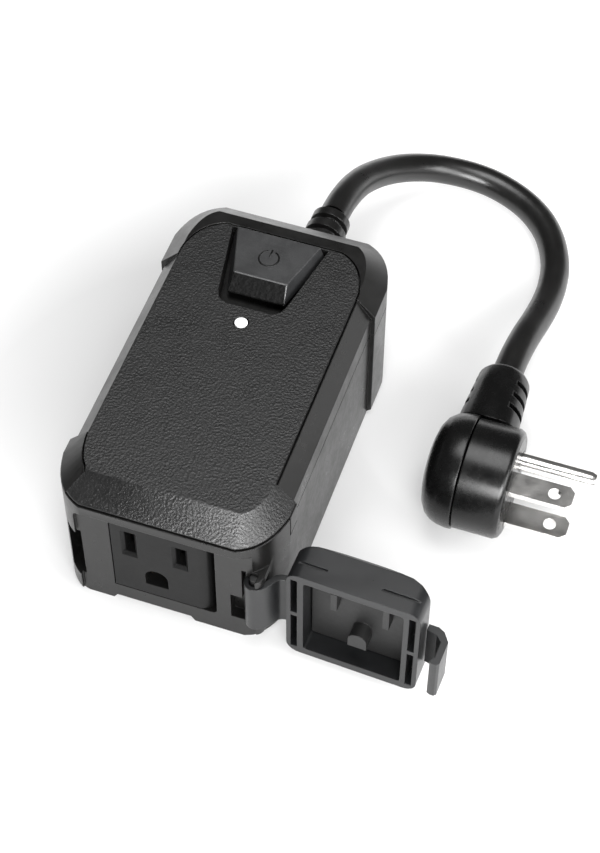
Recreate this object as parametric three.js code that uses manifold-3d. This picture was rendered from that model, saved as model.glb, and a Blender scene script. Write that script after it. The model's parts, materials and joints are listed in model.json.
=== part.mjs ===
// Outdoor smart plug: a sealed switching box with one grounded outlet under a hinged cover,
// a power button, and a short mains lead that ends in a right-angle grounded plug.
//
// Units are millimetres, +Z up. The box lies on its back: the origin is the centre of the back face,
// -Y is the outlet end, +Y is the cord end, and the controls face +Z.

import * as THREE from "three";
import { mergeVertices } from "three/addons/utils/BufferGeometryUtils.js";
import Module from "manifold-3d";

const wasm = await Module();
wasm.setup();

// ---- driving dimensions -------------------------------------------------------------------------

const GAP = 0.3; // clearance kept between pieces that touch on the real object
const CUT = 2; // how far a cutting tool runs past the face that it opens

// box
const BOX_HALF_X = 28;
const BOX_HALF_Y = 49;
const BOX_TOP = 44;
const CHAMFER_LOW = 38.6; // height where the sloping band round the controls starts
const TOP_HALF_X = 22.9; // edge of the flat top, above that band
const TOP_FRONT_Y = -42.2;
const TOP_REAR_Y = 42.6;
const WALL_CORNER = [9, 13]; // how far each corner curve reaches along X and along Y
const TOP_CORNER = [4.6, 10];
const CORNER_FULLNESS = 0.72; // 1 is a full ellipse, 0 a straight cut
const CORNER_STEPS = 9;
const SEAM_Z = 32; // joint between the two shells
const FRONT_BLOCK_Y = -36.4; // the lower shell's outlet end rises to the band in front of this
const CAVITY_FRONT_Y = -36.2;
const CAVITY_HALF_X = 24.4;
const CAVITY_REAR_Y = 46.4;
const FLOOR = 2.4;

// flat pad on the back face that the box stands on
const PAD_HALF_X = 23.6;
const PAD_HALF_Y = 44;
const PAD_T = 0.3;

// recessed side bands between the corner bumpers
const BAND_FRONT_Y = -31.8;
const BAND_REAR_Y = 26.5;
const BAND_X = 26.9;

// face plate, which folds down over the outlet end
const PLATE_REAR_Y = 39.3;
const PLATE_REAR_CORNER = [8, 11];
const PLATE_T = 1.4;
const PLATE_FOLD_T = 2;

// power button and its bay
const CONTROL_X = -0.8; // centre line of the controls
const BAY_FLOOR = 39.6;
const BAY_FLOOR_T = 1.5;
const BUTTON_TOP = 45.4;
const BUTTON_LOW = 41.2;
const STEM_Y = 29;
const STEM_R = 1.5;
const LED_Y = 10.3;
const LED_R = 1.6;

// circuit board
const BOARD_LOW = 30.2;
const BOARD_T = 1.6;
const BOARD_TOP = BOARD_LOW + BOARD_T;

// shell screws
const SCREW_POINTS = [
  [-19, -30],
  [19, -30],
  [-19, 38],
  [19, 38],
];
const SCREW_R = 1.5;
const SCREW_HEAD_R = 2.7;
const SCREW_HEAD_LOW = 2.6;
const SCREW_HEAD_T = 2.2;
const SCREW_TIP = 37;
const POST_R = 4.2;

// grounded outlet (NEMA 5-15R)
const OUTLET_X = -1.8;
const SLOT_Z = 25.6;
const SLOT_PITCH = 12.7;
const GROUND_DROP = 11.9;
const SLOT_W = 2.4;
const NEUTRAL_H = 8.3;
const HOT_H = 7.1;
const GROUND_W = 5.8;
const RECESS_FACE_Y = -47; // floor of the recess round the outlet
const RECESS = { x0: -21.2, x1: 24, z0: -10, z1: 35.6, r: 3.4 };
const INSERT = { x0: -12.6, x1: 11.9, z0: 6.8, z1: 33.4, backY: -37.4 };
const INSERT_SIDE_SLOT = 1.3; // the open slot beside the insert's rounded edge
const CHAMBER_FRONT_Y = -43; // behind this the slots widen to hold the contacts
const CLIP_BACK_Y = -29; // a 16 mm blade ends just short of this
const GROUND_CLIP_BACK_Y = -24.8;
const TAIL = 2.6; // solder tail behind each contact

// cover hinge
const HINGE_X = 23.2;
const HINGE_Y = -47.6;
const PIN_R = 1.1;
const PIN_LOW = 7.9;
const PIN_HIGH = 27.9;
const KNUCKLE_R = 2.5;
const EAR_R = 2.3;
const EAR_T = 2.4; // height of the housing's ears above and below the knuckle
const ARM_LOW = 9.6;
const ARM_HIGH = 26.4;
const ARM_T = 1.6;
const POCKET = { x0: 19.8, x1: 32, y0: -52, y1: -44.2, z0: 7.5, z1: 28.5 };
const SIDE_POCKET = { x0: 16.8, x1: 21, z0: 7.5, z1: 16.8 }; // room beside the arm's rounded end

// cover, written fully open with its inside facing -Y, then turned to where it rests
const COVER = { x0: 31, x1: 63.4, z0: 2.4, z1: 35, rimY: -47.8, r: 3.2 };
const COVER_REST_DEG = -2.7;
const COVER_DEPTH = 10.4;
const COVER_SIDE_DEPTH = [7.6, 6.6]; // its curved outside falls away to these at the two ends
const COVER_DOME_STEPS = 12;
const COVER_HOLLOW = { x0: 35.2, x1: 59.4, z0: 4.8, z1: 32.6, floorY: -41.4 };
const COVER_PLUG_X = 2 * HINGE_X - OUTLET_X;
const ARM_END_Y = -44; // where the arm meets the cover's side
const LATCH = { z0: 9.6, z1: 23.4, length: 9.6, reach: 5.6, t: 1.6 };
const LATCH_SLOT = { x0: -24.2, x1: -20.2, y1: -40.4, z0: 7.6, z1: 25.4 };

// strain relief and cord
const RELIEF_X = 3.9;
const RELIEF_Z = 25;
const RELIEF_END_Y = 65.8;
const RELIEF_END_R = 5.1;
const RING_PITCH = 4.3;
const RING_T = 3;
const RING_GROOVE = 1.1;
const CORD_D = 7.8;
const CORD_SIDES = 12;
const CORD_STEPS = 30;

// plug (NEMA 5-15P), lying on its side with the blades along +X
const PLUG_Y = 6.4;
const PLUG_Z = 14.42;
const PLUG_R = 14.4;
const PLUG_CAP_R = 13.9;
const PLUG_FACE_X = 70.6;
const PLUG_SEAM_X = 58.8;
const PLUG_BACK_X = 49.6;
const PLUG_SIDES = 64;
const BLADE_LINE_Y = 2.2;
const BLADE_PITCH = 12.7;
const BLADE_W = 6.35;
const BLADE_T = 1.5;
const BLADE_L = 15.4;
const PIN_OFFSET = 11.9;
const GROUND_PIN_R = 2.38;
const GROUND_PIN_L = 19.4;
const BLADE_ROOT = 4; // length of each blade moulded into the plug
const NECK_X = 59.8;
const NECK_START_Y = 17.4;
const NECK_END_Y = 38;
const NECK_SLOT_Y = 24.6;
const NECK_SLOT_PITCH = 3.9;
const NECK_SLOT_W = 1.5;

// The lead's centre line, from the strain relief down to the surface and round to the plug's neck.
const CORD_ROUTE = [
  [RELIEF_X, RELIEF_END_Y + 0.6, RELIEF_Z],
  [4.1, 74.3, 23.7],
  [5, 83, 21.1],
  [6.9, 90.4, 18],
  [10.6, 98.1, 14.2],
  [15.5, 103.9, 11.1],
  [21.8, 108.3, 8.3],
  [30.1, 110.8, 6],
  [37.9, 110.6, 4.7],
  [46.1, 107.5, 4.1],
  [52.4, 102.6, 4],
  [57.1, 96.2, 4.1],
  [60.5, 87.7, 4.5],
  [61.8, 79.7, 5.4],
  [62, 71.8, 6.9],
  [61.4, 63, 9.3],
  [60.6, 55.2, 11.6],
  [60, 46.5, 13.5],
  [NECK_X, NECK_END_Y + 0.6, PLUG_Z],
];

// ---- materials ----------------------------------------------------------------------------------

const surface = (color, roughness, metalness = 0) =>
  new THREE.MeshStandardMaterial({ color, roughness, metalness });

const MATERIAL = {
  shell: surface(0x1b1b1c, 0.5),
  plate: surface(0x222223, 0.62),
  outlet: surface(0x161617, 0.48),
  cover: surface(0x18181a, 0.42),
  rubber: surface(0x131314, 0.38),
  nickel: surface(0xb8b6b0, 0.25, 1),
  brass: surface(0xb08d45, 0.35, 1),
  steel: surface(0x9a9a9c, 0.35, 1),
  board: surface(0x1c5a34, 0.5),
  lens: surface(0xf2f4f6, 0.3),
  component: surface(0x20303f, 0.55),
  wire: surface(0x7a1f1c, 0.5),
};

// ---- geometry helpers ---------------------------------------------------------------------------

// A closed geometry as a manifold solid, so that it can be joined and cut.
function solid(geometry) {
  const g = geometry.clone();
  g.deleteAttribute("normal");
  g.deleteAttribute("uv");
  const merged = mergeVertices(g, 1e-4);
  const index = merged.index.array;
  return new wasm.Manifold(
    new wasm.Mesh({
      numProp: 3,
      vertProperties: new Float32Array(merged.attributes.position.array),
      triVerts: new Uint32Array(index),
    }),
  );
}

function geometryOf(manifold) {
  const mesh = manifold.getMesh();
  const positions = new Float32Array(mesh.numVert * 3);
  for (let i = 0; i < mesh.numVert; i++) {
    const from = i * mesh.numProp;
    positions.set(mesh.vertProperties.subarray(from, from + 3), i * 3);
  }
  const g = new THREE.BufferGeometry();
  g.setAttribute("position", new THREE.BufferAttribute(positions, 3));
  g.setIndex(new THREE.BufferAttribute(new Uint32Array(mesh.triVerts), 1));
  g.computeVertexNormals();
  return g;
}

const join = (first, ...rest) => rest.reduce((a, b) => a.add(b), first);
const cut = (first, ...rest) => rest.reduce((a, b) => a.subtract(b), first);

// Turns a solid built along +Z so that it runs along the named axis. Flat coordinates (a, b) become
// (x, y) for z, (x, z) for y and (y, z) for x.
function turned(geometry, axis) {
  const X = new THREE.Vector3(1, 0, 0);
  const Y = new THREE.Vector3(0, 1, 0);
  const Z = new THREE.Vector3(0, 0, 1);
  const basis = new THREE.Matrix4();
  if (axis === "y") basis.makeBasis(X, Z, Y.clone().negate());
  if (axis === "x") basis.makeBasis(Y, Z, X);
  return geometry.applyMatrix4(basis);
}

// A flat outline carried along an axis from low to high.
function prism(outline, low, high, axis = "z", curveSegments = 5) {
  const shape =
    outline instanceof THREE.Shape
      ? outline
      : new THREE.Shape(outline.map(([a, b]) => new THREE.Vector2(a, b)));
  const g = new THREE.ExtrudeGeometry(shape, { depth: high - low, bevelEnabled: false, curveSegments });
  g.translate(0, 0, axis === "y" ? -high : low);
  return solid(turned(g, axis));
}

function box(x0, x1, y0, y1, z0, z1) {
  const g = new THREE.BoxGeometry(x1 - x0, y1 - y0, z1 - z0);
  return solid(g.translate((x0 + x1) / 2, (y0 + y1) / 2, (z0 + z1) / 2));
}

function circle(radius, sides, a = 0, b = 0) {
  const points = [];
  for (let i = 0; i < sides; i++) {
    const angle = (2 * Math.PI * i) / sides;
    points.push([a + radius * Math.cos(angle), b + radius * Math.sin(angle)]);
  }
  return points;
}

// A round bar along an axis; (a, b) is its centre in the two other directions.
function rod(radius, low, high, axis, a, b, sides = 20) {
  return prism(circle(radius, sides, a, b), low, high, axis);
}

// The outline of a rectangle whose low-b corners and high-b corners have their own radii.
function roundedOutline(a0, a1, b0, b1, rLow, rHigh = rLow, steps = 6) {
  const corners = [
    [a1 - rLow, b0 + rLow, rLow, -90],
    [a1 - rHigh, b1 - rHigh, rHigh, 0],
    [a0 + rHigh, b1 - rHigh, rHigh, 90],
    [a0 + rLow, b0 + rLow, rLow, 180],
  ];
  const points = [];
  for (const [a, b, r, start] of corners)
    for (let i = 0; i <= steps; i++) {
      const angle = THREE.MathUtils.degToRad(start + (90 * i) / steps);
      points.push([a + r * Math.cos(angle), b + r * Math.sin(angle)]);
    }
  return points;
}

// The outline of a rectangle whose corner curves reach ra along a and rb along b, flattened towards
// a straight cut.
function corneredOutline(a0, a1, b0, b1, [ra, rb], [raHigh, rbHigh] = [ra, rb]) {
  const corners = [
    [a1 - ra, b0 + rb, ra, rb, -90],
    [a1 - raHigh, b1 - rbHigh, raHigh, rbHigh, 0],
    [a0 + raHigh, b1 - rbHigh, raHigh, rbHigh, 90],
    [a0 + ra, b0 + rb, ra, rb, 180],
  ];
  const points = [];
  for (const [a, b, reachA, reachB, start] of corners)
    for (let i = 0; i <= CORNER_STEPS; i++) {
      const angle = THREE.MathUtils.degToRad(start + (90 * i) / CORNER_STEPS);
      const [cos, sin] = [Math.cos(angle), Math.sin(angle)];
      const toChord = 1 / (Math.abs(cos) + Math.abs(sin));
      const k = CORNER_FULLNESS + (1 - CORNER_FULLNESS) * toChord;
      points.push([a + reachA * cos * k, b + reachB * sin * k]);
    }
  return points;
}

// A solid through outlines with equal point counts, one at each height.
function stack(levels) {
  const count = levels[0].outline.length;
  const positions = [];
  for (const { z, outline } of levels) for (const [a, b] of outline) positions.push(a, b, z);
  const index = [];
  for (let k = 0; k + 1 < levels.length; k++)
    for (let i = 0; i < count; i++) {
      const a = k * count + i;
      const b = k * count + ((i + 1) % count);
      index.push(a, b, b + count, a, b + count, a + count);
    }
  const flat = (outline) => outline.map(([a, b]) => new THREE.Vector2(a, b));
  const bottom = THREE.ShapeUtils.triangulateShape(flat(levels[0].outline), []);
  for (const [a, b, c] of bottom) index.push(c, b, a);
  const top = (levels.length - 1) * count;
  for (const [a, b, c] of THREE.ShapeUtils.triangulateShape(flat(levels.at(-1).outline), []))
    index.push(top + a, top + b, top + c);
  const g = new THREE.BufferGeometry();
  g.setAttribute("position", new THREE.Float32BufferAttribute(positions, 3));
  g.setIndex(index);
  return g;
}

// A body of revolution along +Y, then laid along the named axis, with its zero at (x, y, z).
function revolved(profile, axis, x, y, z, sides = 28) {
  const g = new THREE.LatheGeometry(profile.map(([r, h]) => new THREE.Vector2(r, h)), sides);
  if (axis === "x") g.rotateZ(-Math.PI / 2);
  if (axis === "z") g.rotateX(Math.PI / 2);
  return solid(g.translate(x, y, z));
}

// A round section carried along a smooth route.
function tube(route, diameter, steps, sides) {
  const path = new THREE.CatmullRomCurve3(route.map((p) => new THREE.Vector3(...p)));
  const section = new THREE.Shape(circle(diameter / 2, sides).map(([a, b]) => new THREE.Vector2(a, b)));
  return solid(new THREE.ExtrudeGeometry(section, { steps, extrudePath: path, bevelEnabled: false }));
}

// ---- the object ---------------------------------------------------------------------------------

const smartPlug = new THREE.Group();

function add(name, body, material) {
  const mesh = new THREE.Mesh(geometryOf(body), material);
  mesh.name = name;
  smartPlug.add(mesh);
  return mesh;
}

// Outline of the box's walls, drawn in by an inset.
const wallOutline = (inset) =>
  corneredOutline(
    inset - BOX_HALF_X,
    BOX_HALF_X - inset,
    inset - BOX_HALF_Y,
    BOX_HALF_Y - inset,
    WALL_CORNER.map((r) => r - inset),
  );

// Outline of the flat top inside the sloping band.
const topOutline = (inset) =>
  corneredOutline(
    inset - TOP_HALF_X,
    TOP_HALF_X - inset,
    TOP_FRONT_Y + inset,
    TOP_REAR_Y - inset,
    TOP_CORNER.map((r) => r - inset),
  );

// Where the face plate lies, seen from above: the flat top, and the band across the outlet end from
// its left corner to the end of its right corner.
const plateRegion = (grow) => {
  const outline = corneredOutline(
    -TOP_HALF_X - grow,
    TOP_HALF_X + grow,
    TOP_FRONT_Y - grow,
    PLATE_REAR_Y + grow,
    TOP_CORNER,
    PLATE_REAR_CORNER,
  );
  // the first corner of the outline is the one that the band's right end replaces
  const kept = outline.slice(CORNER_STEPS + 1);
  return [
    [-19.4 - grow, TOP_FRONT_Y - grow],
    [-30 - grow, -53.6],
    [40, -53.6],
    [40, BAND_FRONT_Y + grow],
    [TOP_HALF_X + grow, BAND_FRONT_Y + grow],
    ...kept.slice(0, -2),
  ];
};

// The tapering outline of the button bay, wider at the cord end.
const bayOutline = (grow) =>
  [
    [-5.8, 15 - grow],
    [5.8, 15 - grow],
    [7.8 + grow / 2, 16 - grow / 2],
    [8.8 + grow, 18.4],
    [12.6 + grow, 38.9 + grow],
    [-12.6 - grow, 38.9 + grow],
    [-8.8 - grow, 18.4],
    [-7.8 - grow / 2, 16 - grow / 2],
  ].map(([x, y]) => [x + CONTROL_X, y]);

const bands = [-1, 1].map((side) =>
  prism(
    [
      [side * BAND_X, -CUT],
      [side * BAND_X, CHAMFER_LOW - 0.6],
      [side * (TOP_HALF_X + GAP), BOX_TOP - 0.9],
      [side * (TOP_HALF_X + GAP), BOX_TOP + CUT],
      [side * (BOX_HALF_X + CUT), BOX_TOP + CUT],
      [side * (BOX_HALF_X + CUT), -CUT],
    ],
    BAND_FRONT_Y,
    BAND_REAR_Y,
    "y",
  ),
);

const sealOutline = (grow) =>
  roundedOutline(-25.4 - grow, 25.4 + grow, -38.2 - grow, 47 + grow, 3 + grow, 10.4 + grow);

// A flat strip along the seal line, open where the lower shell's outlet end rises past the seam.
const sealStrip = (halfWidth, low, high, frontY) =>
  cut(
    prism(sealOutline(halfWidth), low, high),
    prism(sealOutline(-halfWidth), low - CUT, high + CUT),
    box(-40, 40, -60, frontY, low - CUT, high + CUT),
  );

function rearHousing() {
  const outer = join(
    solid(
      stack([
        { z: PAD_T, outline: wallOutline(1.6) },
        { z: PAD_T + 1.6, outline: wallOutline(0) },
        { z: SEAM_Z - GAP / 2, outline: wallOutline(0) },
      ]),
    ),
    box(-PAD_HALF_X, PAD_HALF_X, -PAD_HALF_Y, PAD_HALF_Y, 0, FLOOR / 2),
    prism(wallOutline(0), 20, CHAMFER_LOW - GAP).intersect(
      box(-40, 40, -60, FRONT_BLOCK_Y, 20, BOX_TOP),
    ),
  );
  const cavity = prism(
    roundedOutline(-CAVITY_HALF_X, CAVITY_HALF_X, CAVITY_FRONT_Y, CAVITY_REAR_Y, 2, 9),
    FLOOR,
    SEAM_Z + CUT,
  );
  const posts = SCREW_POINTS.map(([x, y]) => rod(POST_R, FLOOR - 1, BOARD_LOW - GAP, "z", x, y, 16));
  const screwHoles = SCREW_POINTS.flatMap(([x, y]) => [
    rod(SCREW_HEAD_R + GAP, -CUT, SCREW_HEAD_LOW + SCREW_HEAD_T + GAP, "z", x, y, 16),
    rod(SCREW_R + GAP, 0, SEAM_Z, "z", x, y, 12),
  ]);
  const recess = prism(
    roundedOutline(RECESS.x0, RECESS.x1, RECESS.z0, RECESS.z1, RECESS.r),
    -BOX_HALF_Y - CUT,
    RECESS_FACE_Y,
    "y",
  );
  const insertHole = join(
    box(INSERT.x0 - GAP, INSERT.x1, -BOX_HALF_Y, CAVITY_FRONT_Y + CUT, INSERT.z0 - GAP, INSERT.z1 + GAP),
    prism(
      roundedOutline(
        INSERT.x1 - 3,
        INSERT.x1 + INSERT_SIDE_SLOT,
        INSERT.z0 - GAP,
        INSERT.z1 + GAP,
        1.4,
      ),
      -BOX_HALF_Y,
      CAVITY_FRONT_Y + CUT,
      "y",
    ),
  );
  const pocket = POCKET;
  const hingePocket = box(pocket.x0, pocket.x1, pocket.y0, pocket.y1, pocket.z0, pocket.z1);
  const ears = [ARM_LOW - GAP - EAR_T, ARM_HIGH + GAP].map((low) =>
    join(
      rod(EAR_R, low, low + EAR_T, "z", HINGE_X, HINGE_Y),
      box(HINGE_X - EAR_R, HINGE_X + EAR_R, HINGE_Y, pocket.y1 + 1, low, low + EAR_T),
    ),
  );
  const pinHole = rod(PIN_R + GAP, PIN_LOW - GAP, PIN_HIGH + GAP, "z", HINGE_X, HINGE_Y, 12);
  const slot = LATCH_SLOT;
  const latchSlot = box(slot.x0, slot.x1, -52, slot.y1, slot.z0, slot.z1);
  const lip = prism(
    [
      [-15, -CUT],
      [-12.6, 1.8],
      [6.4, 1.8],
      [8.8, -CUT],
    ],
    -BOX_HALF_Y - CUT,
    -BOX_HALF_Y + 3.4,
    "y",
  );
  const cordHole = rod(5.3, CAVITY_REAR_Y - CUT, BOX_HALF_Y + CUT, "y", RELIEF_X, RELIEF_Z);
  const side = SIDE_POCKET;
  const sidePocket = box(side.x0, side.x1, pocket.y0, pocket.y1, side.z0, side.z1);
  const pocketed = cut(join(cut(outer, cavity), ...posts), hingePocket, sidePocket, ...bands);
  return cut(
    join(pocketed, ...ears),
    ...screwHoles,
    recess,
    insertHole,
    pinHole,
    latchSlot,
    lip,
    cordHole,
    sealStrip(0.8, SEAM_Z - 1.4, SEAM_Z + CUT, CAVITY_FRONT_Y + 0.2),
  );
}

const boxTop = (wallInset, topInset, low, high) =>
  solid(
    stack([
      { z: low, outline: wallOutline(wallInset) },
      { z: CHAMFER_LOW, outline: wallOutline(wallInset) },
      { z: high, outline: topOutline(topInset) },
    ]),
  );

function frontShell() {
  const seam = SEAM_Z + GAP / 2;
  const outside = cut(
    boxTop(0, 0, seam, BOX_TOP),
    prism(plateRegion(GAP), CHAMFER_LOW - 0.1, BOX_TOP + CUT),
  );
  const underPlate = boxTop(PLATE_FOLD_T + GAP, PLATE_T + GAP, seam, BOX_TOP - PLATE_T - GAP);
  const outer = cut(
    join(outside, underPlate),
    box(-40, 40, -60, FRONT_BLOCK_Y + GAP, SEAM_Z - CUT, CHAMFER_LOW),
  );
  const hollow = (inset) =>
    roundedOutline(
      inset - CAVITY_HALF_X,
      CAVITY_HALF_X - inset,
      CAVITY_FRONT_Y,
      CAVITY_REAR_Y - inset,
      2,
      9 - inset,
    );
  const cavity = solid(
    stack([
      { z: SEAM_Z - CUT, outline: hollow(0) },
      { z: CHAMFER_LOW - 2, outline: hollow(0) },
      { z: BOX_TOP - 3.6, outline: hollow(4.2) },
    ]),
  );
  const bosses = SCREW_POINTS.map(([x, y]) => rod(3.4, BOARD_TOP + GAP, BOX_TOP - 3, "z", x, y, 16));
  const bucket = prism(bayOutline(1.3), BAY_FLOOR - BAY_FLOOR_T, BOX_TOP - 2);
  return cut(
    join(cut(outer, cavity), ...bosses, bucket),
    ...SCREW_POINTS.map(([x, y]) => rod(SCREW_R + GAP, BOARD_TOP, SCREW_TIP + GAP, "z", x, y, 12)),
    prism(bayOutline(0), BAY_FLOOR, BOX_TOP + CUT),
    rod(STEM_R + 0.5, BOARD_TOP, BAY_FLOOR + CUT, "z", CONTROL_X, STEM_Y),
    rod(LED_R + GAP, BOARD_TOP, BOX_TOP + CUT, "z", CONTROL_X, LED_Y),
    ...bands,
  );
}

function facePlate() {
  const skin = boxTop(0, 0, CHAMFER_LOW - CUT, BOX_TOP).intersect(
    prism(plateRegion(0), CHAMFER_LOW + GAP, BOX_TOP + CUT),
  );
  return cut(
    skin,
    boxTop(PLATE_FOLD_T, PLATE_T, SEAM_Z, BOX_TOP - PLATE_T),
    prism(bayOutline(0), BAY_FLOOR, BOX_TOP + CUT),
    rod(LED_R + GAP, BOARD_TOP, BOX_TOP + CUT, "z", CONTROL_X, LED_Y),
  );
}

function powerButton() {
  const keyOutline = (front, frontHalf, rearHalf) =>
    [
      [-frontHalf, front],
      [frontHalf, front],
      [rearHalf, 38.2],
      [-rearHalf, 38.2],
    ].map(([x, y]) => [x + CONTROL_X, y]);
  const key = solid(
    stack([
      { z: BUTTON_LOW, outline: keyOutline(20.4, 7.4, 12) },
      { z: BUTTON_LOW + 0.6, outline: keyOutline(20.4, 7.4, 12) },
      { z: BUTTON_TOP, outline: keyOutline(23.8, 6.9, 10.9) },
    ]),
  );
  return join(key, rod(STEM_R, 36.7, BUTTON_LOW + 1, "z", CONTROL_X, STEM_Y));
}

// A flat ring round a vertical axis.
const washer = (inner, outer, low, high, x, y) =>
  cut(rod(outer, low, high, "z", x, y), rod(inner, low - CUT, high + CUT, "z", x, y));

function addControls() {
  add("power_button", powerButton(), MATERIAL.rubber);
  add(
    "button_gasket",
    washer(STEM_R + 0.5, 4.2, BAY_FLOOR + GAP, BAY_FLOOR + GAP + 0.4, CONTROL_X, STEM_Y),
    MATERIAL.rubber,
  );
  add(
    "switch_body",
    cut(
      box(CONTROL_X - 3, CONTROL_X + 3, STEM_Y - 3, STEM_Y + 3, BOARD_TOP + GAP, 35.6),
      rod(1.9, 33.1, 35.6 + CUT, "z", CONTROL_X, STEM_Y),
    ),
    MATERIAL.component,
  );
  add("switch_plunger", rod(1.6, 34.3, 36.4, "z", CONTROL_X, STEM_Y), MATERIAL.outlet);
  add("light_pipe", rod(LED_R, 34.4, BOX_TOP, "z", CONTROL_X, LED_Y), MATERIAL.lens);
  add(
    "status_led",
    box(CONTROL_X - 1.2, CONTROL_X + 1.2, LED_Y - 0.8, LED_Y + 0.8, BOARD_TOP + GAP, 34),
    MATERIAL.lens,
  );
}

function addBoard() {
  const holes = SCREW_POINTS.map(([x, y]) => rod(2.2, BOARD_LOW - CUT, BOARD_TOP + CUT, "z", x, y, 12));
  const outline = roundedOutline(-23.6, 23.6, -31.5, 42, 2, 6);
  const contactNotch = box(-12, 12, -40, -25, BOARD_LOW - CUT, BOARD_TOP + CUT);
  add("circuit_board", cut(prism(outline, BOARD_LOW, BOARD_TOP), contactNotch, ...holes), MATERIAL.board);
  const under = BOARD_LOW - GAP;
  add("relay", box(-20, -4.4, -8, 11, under - 15.5, under), MATERIAL.component);
  add("transformer", box(0, 16, -6, 8, under - 14, under), MATERIAL.component);
  add("capacitor", rod(5, under - 18, under, "z", 17, 16.5), MATERIAL.component);
  add("fuse", rod(2.6, -12, 0, "y", -23.4 + 3, under - 18.6, 16), MATERIAL.lens);
  add("radio_module", box(-14, 4, 16, 32, under - 3.2, under), MATERIAL.steel);
}

function outletInsert() {
  const edge = 3; // radius of the insert's rounded edge beside the open slot
  const face = new THREE.Shape();
  face.moveTo(INSERT.x0, INSERT.backY);
  face.lineTo(INSERT.x0, RECESS_FACE_Y);
  face.lineTo(INSERT.x1 - edge, RECESS_FACE_Y);
  face.absarc(INSERT.x1 - edge, RECESS_FACE_Y + edge, edge, -Math.PI / 2, 0);
  face.lineTo(INSERT.x1, INSERT.backY);
  const slot = (dx, height) => {
    const x = OUTLET_X + dx;
    const bevel = (grow, y) => ({
      z: y,
      outline: [
        [x - SLOT_W / 2 - grow, SLOT_Z - height / 2 - grow],
        [x + SLOT_W / 2 + grow, SLOT_Z - height / 2 - grow],
        [x + SLOT_W / 2 + grow, SLOT_Z + height / 2 + grow],
        [x - SLOT_W / 2 - grow, SLOT_Z + height / 2 + grow],
      ],
    });
    // heights run towards -Y, so the mouth is the highest level
    const mouth = -RECESS_FACE_Y;
    const opening = stack([
      bevel(0, -CHAMBER_FRONT_Y - 1),
      bevel(0, mouth - 0.8),
      bevel(0.8, mouth),
      bevel(0.8, mouth + CUT),
    ]);
    return [
      solid(turned(opening, "y")),
      box(x - 3.4, x + 3.4, CHAMBER_FRONT_Y, INSERT.backY + CUT, SLOT_Z - 5, SLOT_Z + 5),
    ];
  };
  const groundZ = SLOT_Z - GROUND_DROP;
  const r = GROUND_W / 2;
  const hole = new THREE.Shape();
  hole.moveTo(OUTLET_X - r, groundZ - r);
  hole.lineTo(OUTLET_X + r, groundZ - r);
  hole.lineTo(OUTLET_X + r, groundZ + 0.4);
  hole.absarc(OUTLET_X, groundZ + 0.4, r, 0, Math.PI);
  return cut(
    prism(face, INSERT.z0, INSERT.z1),
    ...slot(-SLOT_PITCH / 2, NEUTRAL_H),
    ...slot(SLOT_PITCH / 2, HOT_H),
    prism(hole, RECESS_FACE_Y - CUT, CHAMBER_FRONT_Y + 1, "y"),
    box(OUTLET_X - 4, OUTLET_X + 4, CHAMBER_FRONT_Y, INSERT.backY + CUT, groundZ - 4, groundZ + 4.6),
  );
}

// A sprung brass clip that grips a blade from both sides, with a tail for its wire.
function bladeClip(dx) {
  const x = OUTLET_X + dx;
  const spring = cut(
    box(x - 2.4, x + 2.4, CHAMBER_FRONT_Y + 1, CLIP_BACK_Y, SLOT_Z - 3.4, SLOT_Z + 3.4),
    box(x - 1.3, x + 1.3, CHAMBER_FRONT_Y, CLIP_BACK_Y - 1, SLOT_Z - 5, SLOT_Z + 5),
  );
  return join(spring, box(x - 1.6, x + 1.6, CLIP_BACK_Y - 0.5, CLIP_BACK_Y + TAIL, SLOT_Z - 1, SLOT_Z));
}

function groundClip() {
  const z = SLOT_Z - GROUND_DROP;
  const socket = cut(
    rod(3.4, CHAMBER_FRONT_Y + 1, GROUND_CLIP_BACK_Y, "y", OUTLET_X, z),
    rod(2.7, CHAMBER_FRONT_Y, GROUND_CLIP_BACK_Y - 1, "y", OUTLET_X, z),
    box(OUTLET_X - 0.5, OUTLET_X + 0.5, CHAMBER_FRONT_Y, GROUND_CLIP_BACK_Y - 1, z - 5, z),
  );
  const back = GROUND_CLIP_BACK_Y;
  return join(socket, box(OUTLET_X - 1.6, OUTLET_X + 1.6, back - 0.5, back + TAIL, z - 0.5, z + 0.5));
}

function addOutlet() {
  add("outlet_insert", outletInsert(), MATERIAL.outlet);
  add("neutral_contact", bladeClip(-SLOT_PITCH / 2), MATERIAL.brass);
  add("hot_contact", bladeClip(SLOT_PITCH / 2), MATERIAL.brass);
  add("ground_contact", groundClip(), MATERIAL.brass);
}

function hingeArm() {
  const strip = new THREE.CatmullRomCurve3(
    [
      [HINGE_X, HINGE_Y - 1.65],
      [HINGE_X + 1.7, HINGE_Y - 1],
      [HINGE_X + 3.2, HINGE_Y + 1],
      [HINGE_X + 4.6, HINGE_Y + 3],
      [HINGE_X + 6.2, ARM_END_Y],
      [COVER.x0 - GAP, ARM_END_Y],
    ].map(([x, y]) => new THREE.Vector3(x, y, 0)),
  );
  const steps = 14;
  const near = [];
  const far = [];
  for (let i = 0; i <= steps; i++) {
    const p = strip.getPoint(i / steps);
    const t = strip.getTangent(i / steps);
    near.push([p.x + (t.y * ARM_T) / 2, p.y - (t.x * ARM_T) / 2]);
    far.unshift([p.x - (t.y * ARM_T) / 2, p.y + (t.x * ARM_T) / 2]);
  }
  return cut(
    join(
      prism([...near, ...far], ARM_LOW, ARM_HIGH),
      rod(KNUCKLE_R, ARM_LOW, ARM_HIGH, "z", HINGE_X, HINGE_Y),
    ),
    rod(PIN_R + GAP, ARM_LOW - CUT, ARM_HIGH + CUT, "z", HINGE_X, HINGE_Y, 16),
  );
}

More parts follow.
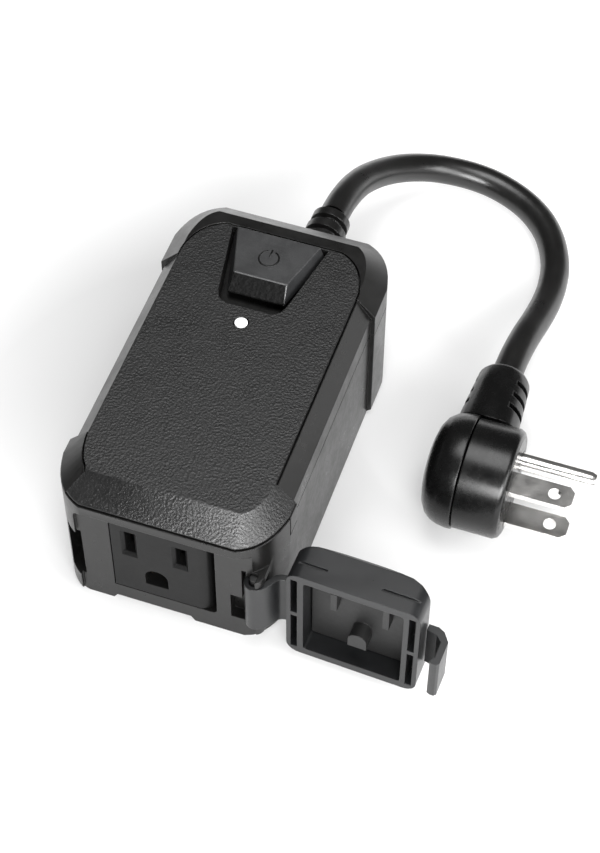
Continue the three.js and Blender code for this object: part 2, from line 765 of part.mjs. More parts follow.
function outletCover() {
  const { x0, x1, z0, z1, rimY, r } = COVER;
  const front = (inset) => roundedOutline(x0 + inset, x1 - inset, z0 + inset, z1 - inset, r);
  const back = rimY + COVER_DEPTH;
  // heights run towards -Y: the outside comes first and the rim last
  const shell = stack([
    { z: -back, outline: front(1.2) },
    { z: -back + 1.2, outline: front(0) },
    { z: -rimY, outline: front(0) },
  ]);
  const [hingeDepth, latchDepth] = COVER_SIDE_DEPTH;
  const dome = [
    [x0 - CUT, rimY],
    [x1 + CUT, rimY],
  ];
  for (let i = 0; i <= COVER_DOME_STEPS; i++) {
    const t = i / COVER_DOME_STEPS;
    const side = THREE.MathUtils.lerp(latchDepth, hingeDepth, t);
    const rise = (1 - Math.abs(2 * t - 1) ** 3) * (COVER_DEPTH - side);
    dome.push([THREE.MathUtils.lerp(x1, x0, t), rimY + side + rise]);
  }
  dome.splice(2, 0, [x1 + CUT, rimY + latchDepth]);
  dome.push([x0 - CUT, rimY + hingeDepth]);
  const hollow = prism(
    roundedOutline(COVER_HOLLOW.x0, COVER_HOLLOW.x1, COVER_HOLLOW.z0, COVER_HOLLOW.z1, 0.8),
    rimY - CUT,
    COVER_HOLLOW.floorY,
    "y",
  );
  const middle = (z0 + z1) / 2;
  const ribSlots = [x0 + 1.1, x1 - 2.7].flatMap((x) => [
    box(x, x + 1.6, rimY - CUT, rimY + 4.6, z0 + 2.2, middle - 0.7),
    box(x, x + 1.6, rimY - CUT, rimY + 4.6, middle + 0.7, z1 - 2.2),
  ]);
  // two short finger grooves in the top wall, one at each end
  const grooves = [
    [x0 - CUT, x0 + 8.6],
    [x1 - 10.5, x1 - 0.6],
  ].map(([from, to]) => box(from, to, rimY + 3.6, rimY + 4.2, z1 - 0.5, z1 + CUT));
  return cut(
    solid(turned(shell, "y")).intersect(prism(dome, z0 - CUT, z1 + CUT)),
    hollow,
    ...ribSlots,
    ...grooves,
  );
}

// The soft plate inside the cover, with a stub for each opening of the outlet.
function coverPlugs() {
  const floor = COVER_HOLLOW.floorY - GAP;
  const face = floor - 1;
  const groundZ = SLOT_Z - GROUND_DROP;
  const pad = prism(
    roundedOutline(
      COVER_HOLLOW.x0 + GAP,
      COVER_HOLLOW.x1 - GAP,
      COVER_HOLLOW.z0 + GAP,
      COVER_HOLLOW.z1 - GAP,
      0.6,
    ),
    face,
    floor,
    "y",
  );
  const fin = (x, height) => {
    const half = height / 2;
    return box(x - 0.8, x + 0.8, face - 3, face + 0.5, SLOT_Z - half, SLOT_Z + half);
  };
  const stub = new THREE.Shape();
  stub.moveTo(COVER_PLUG_X - 2.3, groundZ - 2.4);
  stub.lineTo(COVER_PLUG_X + 2.3, groundZ - 2.4);
  stub.lineTo(COVER_PLUG_X + 2.3, groundZ + 0.4);
  stub.absarc(COVER_PLUG_X, groundZ + 0.4, 2.3, 0, Math.PI);
  // a square hollow in the pad above each fin
  const hollow = (x, height) => {
    const low = SLOT_Z + height / 2;
    return box(x - 1.8, x + 2.2, face - CUT, face + 0.7, low + 0.2, low + 2.8);
  };
  const fins = [
    [COVER_PLUG_X - SLOT_PITCH / 2, HOT_H - 0.6],
    [COVER_PLUG_X + SLOT_PITCH / 2, NEUTRAL_H - 0.6],
  ];
  return join(
    cut(pad, ...fins.map(([x, height]) => hollow(x, height))),
    ...fins.map(([x, height]) => fin(x, height)),
    prism(stub, face - 4, face + 0.5, "y"),
  );
}

function coverLatch() {
  const { length, reach, t } = LATCH;
  const x = COVER.x1 + GAP;
  const back = COVER.rimY + COVER_SIDE_DEPTH[1] - 0.4;
  const tip = back - length;
  return prism(
    [
      [x, back - t],
      [x + reach - t - 1.4, back - t - 0.6],
      [x + reach - t, back - t - 2],
      [x + reach - t, tip + 1.6],
      [x + reach - t - 0.7, tip + 1],
      [x + reach - t - 0.7, tip + 0.4],
      [x + reach - t, tip],
      [x + reach - 0.5, tip],
      [x + reach, tip + 0.6],
      [x + reach, back - 3],
      [x + reach - 1.6, back - 0.8],
      [x + 2.4, back],
      [x, back],
    ],
    LATCH.z0,
    LATCH.z1,
  );
}

function addCover() {
  add("hinge_pin", rod(PIN_R, PIN_LOW, PIN_HIGH, "z", HINGE_X, HINGE_Y, 16), MATERIAL.steel);
  const swing = new THREE.Matrix4()
    .makeTranslation(HINGE_X, HINGE_Y, 0)
    .multiply(new THREE.Matrix4().makeRotationZ(THREE.MathUtils.degToRad(COVER_REST_DEG)))
    .multiply(new THREE.Matrix4().makeTranslation(-HINGE_X, -HINGE_Y, 0));
  const swung = [
    add("cover_hinge_arm", hingeArm(), MATERIAL.cover),
    add("outlet_cover", outletCover(), MATERIAL.cover),
    add("cover_plugs", coverPlugs(), MATERIAL.rubber),
    add("cover_latch", coverLatch(), MATERIAL.cover),
  ];
  for (const mesh of swung) mesh.geometry.applyMatrix4(swing);
}

function addShells() {
  add("rear_housing", rearHousing(), MATERIAL.shell);
  add("front_shell", frontShell(), MATERIAL.shell);
  add("face_plate", facePlate(), MATERIAL.plate);
  const seal = sealStrip(0.5, SEAM_Z - 1.1, SEAM_Z - GAP / 2, CAVITY_FRONT_Y + 0.5);
  add("housing_seal", seal, MATERIAL.rubber);
  SCREW_POINTS.forEach(([x, y], i) => {
    const head = rod(SCREW_HEAD_R, SCREW_HEAD_LOW, SCREW_HEAD_LOW + SCREW_HEAD_T, "z", x, y, 16);
    const driver = box(x - 1.6, x + 1.6, y - 0.35, y + 0.35, 0, SCREW_HEAD_LOW + 0.9);
    const cross = box(x - 0.35, x + 0.35, y - 1.6, y + 1.6, 0, SCREW_HEAD_LOW + 0.9);
    const shank = rod(SCREW_R, SCREW_HEAD_LOW + 1.5, SCREW_TIP, "z", x, y, 12);
    add(`shell_screw_${i + 1}`, cut(join(head, shank), driver, cross), MATERIAL.steel);
  });
}

// A tapered sleeve with three ring grooves, held in the rear wall between two collars.
function strainRelief() {
  const wallIn = CAVITY_REAR_Y - GAP;
  const wallOut = BOX_HALF_Y + GAP;
  // three rings close together at the free end, each a little smaller than the one before it
  const rings = [0, 1, 2].flatMap((i) => {
    const y = RELIEF_END_Y - RING_T / 2 - RING_PITCH * (2 - i);
    const r = RELIEF_END_R + 0.3 * (2 - i);
    return [
      [r - RING_GROOVE, y - RING_T / 2 - 0.2],
      [r, y - RING_T / 2 + 0.3],
      [r, y + RING_T / 2 - 0.4],
      [r - RING_GROOVE, y + RING_T / 2],
    ];
  });
  return revolved(
    [
      [0, wallIn - 3.2],
      [6.4, wallIn - 3.2],
      [6.4, wallIn],
      [5, wallIn],
      [5, wallOut],
      [6.5, wallOut],
      [5.6, wallOut + 1.6],
      ...rings,
      [0, RELIEF_END_Y],
    ],
    "y",
    RELIEF_X,
    0,
    RELIEF_Z,
  );
}

function addInsideWiring() {
  const start = CAVITY_REAR_Y - GAP - 3.2 - GAP;
  add(
    "cord_clamp",
    cut(
      box(RELIEF_X - 8, RELIEF_X + 8, start - 2.6, start, 12, RELIEF_Z),
      rod(4.6, start - 5, start + 1, "y", RELIEF_X, RELIEF_Z),
    ),
    MATERIAL.outlet,
  );
  const end = start - 0.4;
  const bladeTail = CLIP_BACK_Y + TAIL + 0.5;
  const groundTail = GROUND_CLIP_BACK_Y + TAIL + 0.5;
  const clipZ = SLOT_Z - 0.5;
  const routes = {
    hot_wire: [
      [RELIEF_X + 2, end, RELIEF_Z],
      [RELIEF_X + 2.1, 39, 24],
      [7, 33, 14],
      [6.4, 14, 7.5],
      [7, -8, 8],
      [6.4, -18, 20],
      [OUTLET_X + SLOT_PITCH / 2, bladeTail, clipZ],
    ],
    neutral_wire: [
      [RELIEF_X - 2, end, RELIEF_Z],
      [RELIEF_X - 2.3, 39, 24],
      [-2, 33, 14],
      [-6, 14, 7.5],
      [-8.4, -8, 8],
      [-8, -18, 20],
      [OUTLET_X - SLOT_PITCH / 2, bladeTail, clipZ],
    ],
    ground_wire: [
      [RELIEF_X, end, RELIEF_Z - 2.4],
      [RELIEF_X - 0.1, 39, 21.8],
      [2.8, 33, 11],
      [0.4, 14, 5],
      [-1, -6, 5],
      [OUTLET_X, -15, 10],
      [OUTLET_X, groundTail, SLOT_Z - GROUND_DROP],
    ],
  };
  for (const [name, route] of Object.entries(routes)) add(name, tube(route, 2.1, 14, 8), MATERIAL.wire);
}

function plugNeck() {
  const profile = [7.9, 7.7, 7.4, 7.05, 6.7].map((r, i) => [
    r,
    THREE.MathUtils.lerp(NECK_START_Y, NECK_END_Y - 1.6, i / 4),
  ]);
  const sleeve = revolved(
    [[0, NECK_START_Y], ...profile, [6, NECK_END_Y - 0.5], [5, NECK_END_Y], [0, NECK_END_Y]],
    "y",
    NECK_X,
    0,
    PLUG_Z,
  );
  // slots that let the neck bend, deep on the side towards the blades
  const slots = [0, 1, 2].flatMap((i) => {
    const y = NECK_SLOT_Y + NECK_SLOT_PITCH * i;
    return [
      box(NECK_X + 3.8, NECK_X + 10, y, y + NECK_SLOT_W, PLUG_Z - 10, PLUG_Z + 10),
      box(NECK_X - 10, NECK_X - 6.2, y, y + NECK_SLOT_W, PLUG_Z - 10, PLUG_Z + 10),
    ];
  });
  // the end that meets the plug's round head is hollowed to its curve
  const head = revolved(
    [
      [0, PLUG_BACK_X - 10],
      [PLUG_R + GAP, PLUG_BACK_X - 10],
      [PLUG_R + GAP, PLUG_FACE_X + 10],
      [0, PLUG_FACE_X + 10],
    ],
    "x",
    0,
    PLUG_Y,
    PLUG_Z,
    PLUG_SIDES,
  );
  return cut(sleeve, ...slots, head);
}

function addPlug() {
  const profile = (points) => revolved(points, "x", 0, PLUG_Y, PLUG_Z, PLUG_SIDES);
  const halfW = BLADE_W / 2 + GAP;
  const halfT = BLADE_T / 2 + GAP;
  const holes = (from, to) => [
    ...[-1, 1].map((side) => {
      const z = PLUG_Z + (side * BLADE_PITCH) / 2;
      return box(from, to, BLADE_LINE_Y - halfW, BLADE_LINE_Y + halfW, z - halfT, z + halfT);
    }),
    rod(GROUND_PIN_R + GAP, from, to, "x", BLADE_LINE_Y + PIN_OFFSET, PLUG_Z, 16),
  ];
  add(
    "plug_body",
    profile([
      [0, PLUG_BACK_X],
      [7.6, PLUG_BACK_X],
      [10.2, PLUG_BACK_X + 0.7],
      [12.2, PLUG_BACK_X + 1.9],
      [13.5, PLUG_BACK_X + 3.6],
      [14.1, PLUG_BACK_X + 5.4],
      [PLUG_R, PLUG_BACK_X + 7.4],
      [PLUG_R, PLUG_SEAM_X - GAP],
      [0, PLUG_SEAM_X - GAP],
    ]),
    MATERIAL.rubber,
  );
  add(
    "plug_cap",
    cut(
      profile([
        [0, PLUG_SEAM_X],
        [PLUG_CAP_R, PLUG_SEAM_X],
        [PLUG_CAP_R, PLUG_FACE_X - 1.6],
        [PLUG_CAP_R - 0.6, PLUG_FACE_X - 0.5],
        [PLUG_CAP_R - 1.6, PLUG_FACE_X],
        [0, PLUG_FACE_X],
      ]),
      ...holes(PLUG_FACE_X - BLADE_ROOT - GAP, PLUG_FACE_X + CUT),
    ),
    MATERIAL.rubber,
  );
  const names = ["neutral_blade", "hot_blade"];
  [-1, 1].forEach((side, i) => {
    const z = PLUG_Z + (side * BLADE_PITCH) / 2;
    const tip = PLUG_FACE_X + BLADE_L;
    const outline = [
      [PLUG_FACE_X - BLADE_ROOT, BLADE_LINE_Y - BLADE_W / 2],
      [tip - 1.4, BLADE_LINE_Y - BLADE_W / 2],
      [tip, BLADE_LINE_Y - BLADE_W / 2 + 1.4],
      [tip, BLADE_LINE_Y + BLADE_W / 2 - 1.4],
      [tip - 1.4, BLADE_LINE_Y + BLADE_W / 2],
      [PLUG_FACE_X - BLADE_ROOT, BLADE_LINE_Y + BLADE_W / 2],
    ];
    const hole = rod(1.6, z - CUT, z + CUT, "z", tip - 4.6, BLADE_LINE_Y, 16);
    const blade = cut(prism(outline, z - BLADE_T / 2, z + BLADE_T / 2), hole);
    add(names[i], blade, MATERIAL.nickel);
  });
  const tip = PLUG_FACE_X + GROUND_PIN_L;
  add(
    "ground_pin",
    revolved(
      [
        [0, PLUG_FACE_X - BLADE_ROOT],
        [GROUND_PIN_R, PLUG_FACE_X - BLADE_ROOT],
        [GROUND_PIN_R, tip - 1.8],
        [GROUND_PIN_R - 0.5, tip - 0.6],
        [GROUND_PIN_R - 1.4, tip],
        [0, tip],
      ],
      "x",
      0,
      BLADE_LINE_Y + PIN_OFFSET,
      PLUG_Z,
      20,
    ),
    MATERIAL.nickel,
  );
}

addShells();
addControls();
addBoard();
addOutlet();
addCover();
addInsideWiring();
add("strain_relief", strainRelief(), MATERIAL.rubber);
add("power_cord", tube(CORD_ROUTE, CORD_D, CORD_STEPS, CORD_SIDES), MATERIAL.rubber);
add("plug_neck", plugNeck(), MATERIAL.rubber);
addPlug();

export default smartPlug;
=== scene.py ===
"""Outdoor smart plug with its outlet cover swung open and its short lead lying beside it."""

import json
import math

import bmesh
import bpy
from mathutils import Matrix, Vector


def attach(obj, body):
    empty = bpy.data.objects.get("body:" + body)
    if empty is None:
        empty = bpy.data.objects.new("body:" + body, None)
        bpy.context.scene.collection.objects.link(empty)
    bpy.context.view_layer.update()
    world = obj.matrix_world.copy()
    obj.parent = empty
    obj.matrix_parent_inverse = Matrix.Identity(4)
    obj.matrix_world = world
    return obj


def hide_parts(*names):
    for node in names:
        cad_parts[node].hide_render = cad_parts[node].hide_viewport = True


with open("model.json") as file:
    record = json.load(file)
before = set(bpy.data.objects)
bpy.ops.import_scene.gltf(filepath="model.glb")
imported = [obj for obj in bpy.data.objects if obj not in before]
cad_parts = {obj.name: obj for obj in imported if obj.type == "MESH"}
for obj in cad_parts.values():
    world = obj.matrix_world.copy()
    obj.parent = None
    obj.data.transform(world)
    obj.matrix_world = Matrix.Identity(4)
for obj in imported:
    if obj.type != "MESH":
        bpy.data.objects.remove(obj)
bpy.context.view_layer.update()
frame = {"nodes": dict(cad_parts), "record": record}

MM = 0.001

# how softly edges catch the light
ROUND_MM = 0.3
METAL_ROUND_MM = 0.12
ROUND_SAMPLES = 4

# sizes of the cloudy patches and of the dust on plastic, and of the clouds in metal
PATCH_MM = 9
DUST_MM = 1.6
CLOUD_MM = 4


def mm(x, y, z):
    return Vector((x * MM, y * MM, z * MM))


# ---- camera --------------------------------------------------------------------------------------

CAMERA_AT = mm(117.36, -290.96, 432.15)
CAMERA_RIGHT = Vector((0.94528, 0.32626, 0.00193))
CAMERA_BACK = Vector((0.19470, -0.56883, 0.79908))
LENS = 88.63

camera_data = bpy.data.cameras.new("camera")
camera_data.lens = LENS
camera_data.clip_start = 0.01
camera_data.clip_end = 20
camera = bpy.data.objects.new("camera", camera_data)
up = CAMERA_BACK.cross(CAMERA_RIGHT).normalized()
right = up.cross(CAMERA_BACK).normalized()
turn = Matrix((right, up, CAMERA_BACK.normalized())).transposed().to_4x4()
camera.matrix_world = Matrix.Translation(CAMERA_AT) @ turn
bpy.context.scene.collection.objects.link(camera)
bpy.context.scene.camera = camera

# ---- material helpers ----------------------------------------------------------------------------


class Nodes:
    """A material's node tree, with short calls for adding and linking nodes."""

    def __init__(self, name):
        self.material = bpy.data.materials.new(name)
        self.material.use_nodes = True
        self.tree = self.material.node_tree
        self.shader = self.tree.nodes["Principled BSDF"]
        self.coords = self.add("ShaderNodeTexCoord").outputs["Object"]

    def add(self, kind, inputs=None, **properties):
        node = self.tree.nodes.new(kind)
        for key, value in properties.items():
            setattr(node, key, value)
        for key, value in (inputs or {}).items():
            self.set(node.inputs[key], value)
        return node

    def set(self, socket, value):
        if isinstance(value, bpy.types.NodeSocket):
            self.tree.links.new(value, socket)
        else:
            socket.default_value = value

    def noise(self, size_mm, detail=3, rough=0.55, stretch=(1, 1, 1)):
        """Noise whose features are about size_mm wide, from 0 to 1."""
        place = self.add("ShaderNodeMapping", {"Vector": self.coords, "Scale": stretch})
        inputs = {"Vector": place.outputs[0], "Scale": 1 / (size_mm * MM)}
        inputs.update({"Detail": detail, "Roughness": rough})
        return self.add("ShaderNodeTexNoise", inputs).outputs["Fac"]

    def pebbles(self, size_mm):
        """Soft round cells about size_mm wide, as in leather grain."""
        kind = {"voronoi_dimensions": "3D", "feature": "SMOOTH_F1"}
        inputs = {"Vector": self.coords, "Scale": 1 / (size_mm * MM), "Smoothness": 0.5}
        return self.add("ShaderNodeTexVoronoi", inputs, **kind).outputs["Distance"]

    def math(self, operation, a, b):
        node = self.add("ShaderNodeMath", operation=operation)
        self.set(node.inputs[0], a)
        self.set(node.inputs[1], b)
        return node.outputs[0]

    def spread(self, value, low, high, start=0.3, end=0.7):
        """Carries value from the range start..end to the range low..high."""
        inputs = {"Value": value, "From Min": start, "From Max": end, "To Min": low, "To Max": high}
        return self.add("ShaderNodeMapRange", inputs).outputs["Result"]

    def mix(self, factor, a, b):
        node = self.add("ShaderNodeMix", data_type="RGBA")
        self.set(node.inputs["Factor"], factor)
        self.set(node.inputs[6], a)
        self.set(node.inputs[7], b)
        return node.outputs[2]

    def surface(self, height, strength, depth_mm, round_mm):
        """The normal of a surface with rounded edges and a fine relief."""
        rounded = self.add(
            "ShaderNodeBevel", {"Radius": round_mm * MM}, samples=ROUND_SAMPLES
        ).outputs["Normal"]
        inputs = {"Height": height, "Strength": strength, "Distance": depth_mm * MM}
        inputs["Normal"] = rounded
        return self.add("ShaderNodeBump", inputs).outputs["Normal"]


def grey(value, tint=(1, 1, 1)):
    return (value * tint[0], value * tint[1], value * tint[2], 1)


def plastic(
    name,
    base,
    rough,
    grain_mm,
    grain,
    depth_mm=0.05,
    spec=0.5,
    tint=(1, 1, 1),
    wear=1.5,
    leather=0.0,
):
    """Moulded plastic: a fine grain, uneven gloss, faint dust and edges rubbed a little lighter."""
    n = Nodes(name)
    patches = n.noise(PATCH_MM, 2)
    dust = n.noise(DUST_MM, 4, 0.7)
    tone = n.mix(n.spread(patches, 0, 1), grey(base * 0.88, tint), grey(base * 1.12, tint))
    tone = n.mix(n.spread(dust, 0, 0.16, 0.55, 0.8), tone, grey(base * 2.6, tint))
    edges = n.add("ShaderNodeNewGeometry").outputs["Pointiness"]
    rubbed = n.math("MULTIPLY", n.spread(edges, 0, 0.5, 0.52, 0.6), n.spread(dust, 0.4, 1))
    tone = n.mix(rubbed, tone, grey(base * wear, tint))
    n.set(n.shader.inputs["Base Color"], tone)
    dulled = n.spread(dust, rough - 0.03, rough + 0.05)
    gloss = n.math("ADD", n.spread(patches, -0.04, 0.04), dulled)
    n.set(n.shader.inputs["Roughness"], gloss)
    n.shader.inputs["Specular IOR Level"].default_value = spec
    fine = n.noise(grain_mm, 2, 0.6)
    height = fine
    if leather:
        pebble = n.math("MULTIPLY", n.pebbles(grain_mm * 2.4), leather)
        height = n.math("ADD", pebble, n.math("MULTIPLY", fine, 0.7))
    n.set(n.shader.inputs["Normal"], n.surface(height, grain, depth_mm, ROUND_MM))
    return n.material


def metal(name, base, rough, scratch_mm, stretch, bump=0.06, tint=(1, 1, 1)):
    """Plated or rolled metal with fine drawing lines and a cloudy polish."""
    n = Nodes(name)
    lines = n.noise(scratch_mm, 4, 0.7, stretch)
    clouds = n.noise(CLOUD_MM, 3)
    tone = n.mix(n.spread(clouds, 0, 1), grey(base * 0.9, tint), grey(base, tint))
    n.set(n.shader.inputs["Base Color"], tone)
    dulled = n.spread(clouds, rough - 0.03, rough + 0.04)
    gloss = n.math("ADD", n.spread(lines, -0.02, 0.03), dulled)
    n.set(n.shader.inputs["Roughness"], gloss)
    n.shader.inputs["Metallic"].default_value = 1.0
    n.set(n.shader.inputs["Normal"], n.surface(lines, bump, 0.02, METAL_ROUND_MM))
    return n.material


MATERIAL = {
    "shell_plastic": plastic(
        "shell_plastic", 0.0035, 0.31, 0.30, 0.22, 0.02, spec=0.42, tint=(1.03, 1.0, 0.95)
    ),
    "plate_plastic": plastic("plate_plastic", 0.006, 0.35, 0.26, 1.0, 0.11, spec=0.55, leather=0.8),
    "outlet_plastic": plastic("outlet_plastic", 0.004, 0.40, 0.5, 0.12, 0.02, spec=0.16),
    "cover_plastic": plastic(
        "cover_plastic", 0.006, 0.34, 0.30, 0.4, 0.03, spec=0.5, tint=(0.95, 1.0, 1.08)
    ),
    "button_plastic": plastic(
        "button_plastic", 0.020, 0.34, 0.30, 0.7, 0.05, spec=0.9, tint=(0.98, 1.0, 1.04)
    ),
    "seal_rubber": plastic("seal_rubber", 0.007, 0.5, 0.4, 0.2, 0.02),
    "cord_rubber": plastic(
        "cord_rubber", 0.003, 0.32, 0.9, 0.12, 0.02, spec=0.65, wear=1.2, tint=(1.06, 1.0, 0.94)
    ),
    "plug_plastic": plastic("plug_plastic", 0.002, 0.26, 0.7, 0.05, 0.02, spec=0.38, wear=1.2),
    "nickel": metal("nickel", 0.86, 0.2, 0.3, (0.15, 1, 1), bump=0.004, tint=(1, 0.985, 0.96)),
    "contact_brass": metal("contact_brass", 0.7, 0.28, 0.3, (1, 0.2, 1), tint=(1, 0.76, 0.38)),
    "steel": metal("steel", 0.12, 0.4, 0.3, (1, 1, 0.2)),
    "board": plastic("board", 0.11, 0.4, 0.8, 0.2, tint=(0.2, 1, 0.45)),
    "component": plastic("component", 0.08, 0.45, 0.5, 0.2, tint=(0.6, 0.9, 1.4)),
    "lens": plastic("lens", 0.8, 0.3, 0.6, 0.05, wear=1.0),
    "hot_insulation": plastic("hot_insulation", 0.02, 0.35, 0.8, 0.08),
    "neutral_insulation": plastic("neutral_insulation", 0.6, 0.35, 0.8, 0.08, wear=1.0),
    "ground_insulation": plastic("ground_insulation", 0.2, 0.35, 0.8, 0.08, tint=(0.2, 1, 0.4)),
    "icon_print": plastic("icon_print", 0.002, 0.5, 0.5, 0.05),
    "slope_grain": plastic("slope_grain", 0.002, 0.6, 0.45, 1.0, 0.12, spec=0.15, leather=1.0),
}

SLOT_OF = {p["node"]: p["material_slot"] for p in frame["record"]["subparts"]}
BODY_OF = {n: body for body, nodes in frame["record"]["behaviour"]["bodies"].items() for n in nodes}

for node, obj in frame["nodes"].items():
    obj.data.materials.clear()
    obj.data.materials.append(MATERIAL[SLOT_OF[node]])


# ---- mesh helpers --------------------------------------------------------------------------------


def new_object(name, mesh, material):
    obj = bpy.data.objects.new(name, mesh)
    bpy.context.scene.collection.objects.link(obj)
    mesh.materials.append(material)
    mesh.shade_smooth()
    return obj


EDGE_ANGLE = math.radians(30)  # a sharper fold than this is an edge
FLAT_ANGLE = math.radians(1.0)  # a smaller fold than this is flat
WELD_MM = 0.01
BEVEL_SEGMENTS = 3


def soften(obj, radius_mm):
    """Rounds the piece's edges and keeps its flat faces flat."""
    bevel = obj.modifiers.new("round", "BEVEL")
    bevel.width = radius_mm * MM
    bevel.segments = BEVEL_SEGMENTS
    bevel.limit_method = "ANGLE"
    bevel.angle_limit = EDGE_ANGLE
    bevel.use_clamp_overlap = False
    weighted = obj.modifiers.new("flat", "WEIGHTED_NORMAL")
    weighted.keep_sharp = True


def skin(node, radius_mm=0.0):
    """A finished piece that stands for a CAD node, with round edges if a radius is given."""
    source = frame["nodes"][node].data
    bm = bmesh.new()
    vertices = [bm.verts.new(v.co) for v in source.vertices]
    for polygon in source.polygons:
        bm.faces.new([vertices[i] for i in polygon.vertices])
    bmesh.ops.remove_doubles(bm, verts=bm.verts, dist=WELD_MM * MM)
    if radius_mm:
        bmesh.ops.dissolve_limit(bm, angle_limit=FLAT_ANGLE, verts=bm.verts, edges=bm.edges)
    mesh = bpy.data.meshes.new(node + "_skin")
    bm.to_mesh(mesh)
    bm.free()
    obj = new_object(node + "_skin", mesh, MATERIAL[SLOT_OF[node]])
    if radius_mm:
        soften(obj, radius_mm)
    else:
        mesh.set_sharp_from_angle(angle=EDGE_ANGLE)
    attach(obj, BODY_OF[node])
    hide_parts(node)
    return obj


# ---- cord ----------------------------------------------------------------------------------------

CORD_D = 7.8
CORD_ROUTE = [
    (3.9, 66.4, 25),
    (4.1, 74.3, 23.7),
    (5, 83, 21.1),
    (6.9, 90.4, 18),
    (10.6, 98.1, 14.2),
    (15.5, 103.9, 11.1),
    (21.8, 108.3, 8.3),
    (30.1, 110.8, 6),
    (37.9, 110.6, 4.7),
    (46.1, 107.5, 4.1),
    (52.4, 102.6, 4),
    (57.1, 96.2, 4.1),
    (60.5, 87.7, 4.5),
    (61.8, 79.7, 5.4),
    (62, 71.8, 6.9),
    (61.4, 63, 9.3),
    (60.6, 55.2, 11.6),
    (60, 46.5, 13.5),
    (59.8, 38.6, 14.4),
]


def make_cord():
    curve = bpy.data.curves.new("lead", "CURVE")
    curve.dimensions = "3D"
    curve.bevel_depth = CORD_D / 2 * MM
    curve.bevel_resolution = 10
    curve.resolution_u = 16
    spline = curve.splines.new("BEZIER")
    spline.bezier_points.add(len(CORD_ROUTE) - 1)
    points = [mm(*p) for p in CORD_ROUTE]
    for i, (knot, p) in enumerate(zip(spline.bezier_points, points)):
        before = points[max(i - 1, 0)]
        after = points[min(i + 1, len(points) - 1)]
        along = (after - before).normalized()
        knot.co = p
        knot.handle_left_type = knot.handle_right_type = "FREE"
        knot.handle_left = p - along * (p - before).length / 3
        knot.handle_right = p + along * (after - p).length / 3
    obj = bpy.data.objects.new("lead", curve)
    bpy.context.scene.collection.objects.link(obj)
    curve.materials.append(MATERIAL["cord_rubber"])
    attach(obj, BODY_OF["power_cord"])
    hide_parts("power_cord")
    return obj


lead = make_cord()

# ---- pieces --------------------------------------------------------------------------------------

BUTTON_ROUND_MM = 0.35
PLUG_ROUND_MM = 0.2

for node in ("rear_housing", "front_shell", "face_plate"):
    skin(node)
button_skin = skin("power_button", BUTTON_ROUND_MM)
for node in (
    "outlet_insert",
    "hinge_pin",
    "cover_hinge_arm",
    "outlet_cover",
    "cover_plugs",
    "cover_latch",
    "light_pipe",
    "strain_relief",
):
    skin(node)

SLOPE_FACING = -0.4  # faces of the button turned this far to the front are its slope
SLOPE_LOW_MM = 40


def grain_slope():
    """Gives the button's sloping front its coarser, darker grain."""
    mesh = button_skin.data
    mesh.materials.append(MATERIAL["slope_grain"])
    for polygon in mesh.polygons:
        if polygon.normal.y < SLOPE_FACING and polygon.center.z > SLOPE_LOW_MM * MM:
            polygon.material_index = 1


grain_slope()

ICON_AT = (-0.9, 30.6)
ICON_R = 2.5
ICON_LINE = 0.4
ICON_Z = 45.43
ICON_THICK_MM = 0.03
ICON_START_DEG = 112
ICON_SWEEP_DEG = 316
ICON_STEPS = 48
ICON_BAR = (0.5, ICON_R + 0.4)


def make_icon():
    """The thin printed power symbol: an open ring with a short upright bar."""
    bm = bmesh.new()

    def strip(points, across):
        pairs = []
        for (x, y), (u, v) in zip(points, across):
            half = ICON_LINE / 2
            inner = mm(ICON_AT[0] + x - u * half, ICON_AT[1] + y - v * half, ICON_Z)
            outer = mm(ICON_AT[0] + x + u * half, ICON_AT[1] + y + v * half, ICON_Z)
            pairs.append((bm.verts.new(inner), bm.verts.new(outer)))
        for (a, b), (c, d) in zip(pairs, pairs[1:]):
            bm.faces.new((a, b, d, c))

    degrees = [ICON_START_DEG + ICON_SWEEP_DEG * i / ICON_STEPS for i in range(ICON_STEPS + 1)]
    circle = [(math.cos(math.radians(t)), math.sin(math.radians(t))) for t in degrees]
    strip([(ICON_R * x, ICON_R * y) for x, y in circle], circle)
    strip([(0, y) for y in ICON_BAR], [(1, 0), (1, 0)])
    bmesh.ops.recalc_face_normals(bm, faces=bm.faces)
    mesh = bpy.data.meshes.new("power_icon")
    bm.to_mesh(mesh)
    bm.free()
    icon = new_object("power_icon", mesh, MATERIAL["icon_print"])
    thick = icon.modifiers.new("thick", "SOLIDIFY")
    thick.thickness = ICON_THICK_MM * MM
    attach(icon, "button")


make_icon()

plug_pieces = [
    skin("plug_neck"),
    skin("plug_body", PLUG_ROUND_MM),
    skin("plug_cap", PLUG_ROUND_MM),
    skin("neutral_blade"),
    skin("hot_blade"),
    skin("ground_pin"),
]

# ---- floor and light -----------------------------------------------------------------------------


FLOOR_HALF_M = 3.0

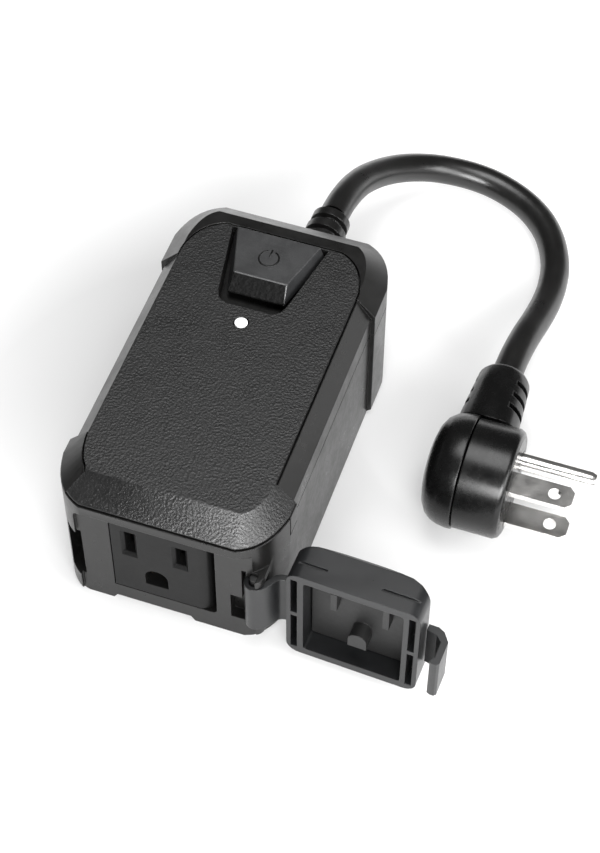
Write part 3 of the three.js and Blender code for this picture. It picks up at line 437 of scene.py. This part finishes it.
# the sheet's own glow, painted light that stands in for the lamps: dim near the object as painted
# shade around it, bright far from it, and the metres between which it grows
SHADE_GLOW_NEAR = 0.20
GLOW_FAR = 1.05
GLOW_FROM_M = 0.07
GLOW_TO_M = 0.18
WORLD_STRENGTH = 0.12


def make_floor():
    mesh = bpy.data.meshes.new("floor")
    half = FLOOR_HALF_M
    corners = [(-half, -half, 0), (half, -half, 0), (half, half, 0), (-half, half, 0)]
    mesh.from_pydata(corners, [], [(0, 1, 2, 3)])
    n = Nodes("floor_painted_glow")
    n.set(n.shader.inputs["Base Color"], n.mix(n.noise(60, 2), grey(0.54), grey(0.57)))
    n.shader.inputs["Roughness"].default_value = 0.7
    n.shader.inputs["Specular IOR Level"].default_value = 0.2
    n.shader.inputs["Emission Color"].default_value = grey(1.0)
    # the sheet glows more the further it is from the object: painted light, with the dim glow close
    # to the object standing in for its shadow
    away = n.add("ShaderNodeVectorMath", {0: n.coords}, operation="LENGTH").outputs["Value"]
    painted_glow = n.spread(away, SHADE_GLOW_NEAR, GLOW_FAR, GLOW_FROM_M, GLOW_TO_M)
    n.set(n.shader.inputs["Emission Strength"], painted_glow)
    floor = new_object("floor", mesh, n.material)


def soft_box(name, at, target, size, watts):
    data = bpy.data.lights.new(name, "AREA")
    data.shape = "RECTANGLE"
    data.size, data.size_y = size
    data.energy = watts
    light = bpy.data.objects.new(name, data)
    light.location = at
    light.rotation_mode = "QUATERNION"
    light.rotation_quaternion = (Vector(target) - Vector(at)).to_track_quat("-Z", "Y")
    bpy.context.scene.collection.objects.link(light)


make_floor()
soft_box("overhead", at=(0.06, 0.10, 1.0), target=(0.02, 0, 0), size=(0.7, 0.55), watts=7.5)
soft_box("key_right", at=(0.62, -0.16, 0.34), target=(0.05, 0, 0.02), size=(0.4, 0.35), watts=4)
soft_box("front_box", at=(0.24, -0.5, 0.36), target=(0.02, -0.03, 0.03), size=(0.46, 0.22), watts=7)

world = bpy.data.worlds.new("world")
world.use_nodes = True
background = world.node_tree.nodes["Background"]
background.inputs["Color"].default_value = (1, 1, 1, 1)
background.inputs["Strength"].default_value = WORLD_STRENGTH
bpy.context.scene.world = world
bpy.context.scene.view_settings.view_transform = "Standard"
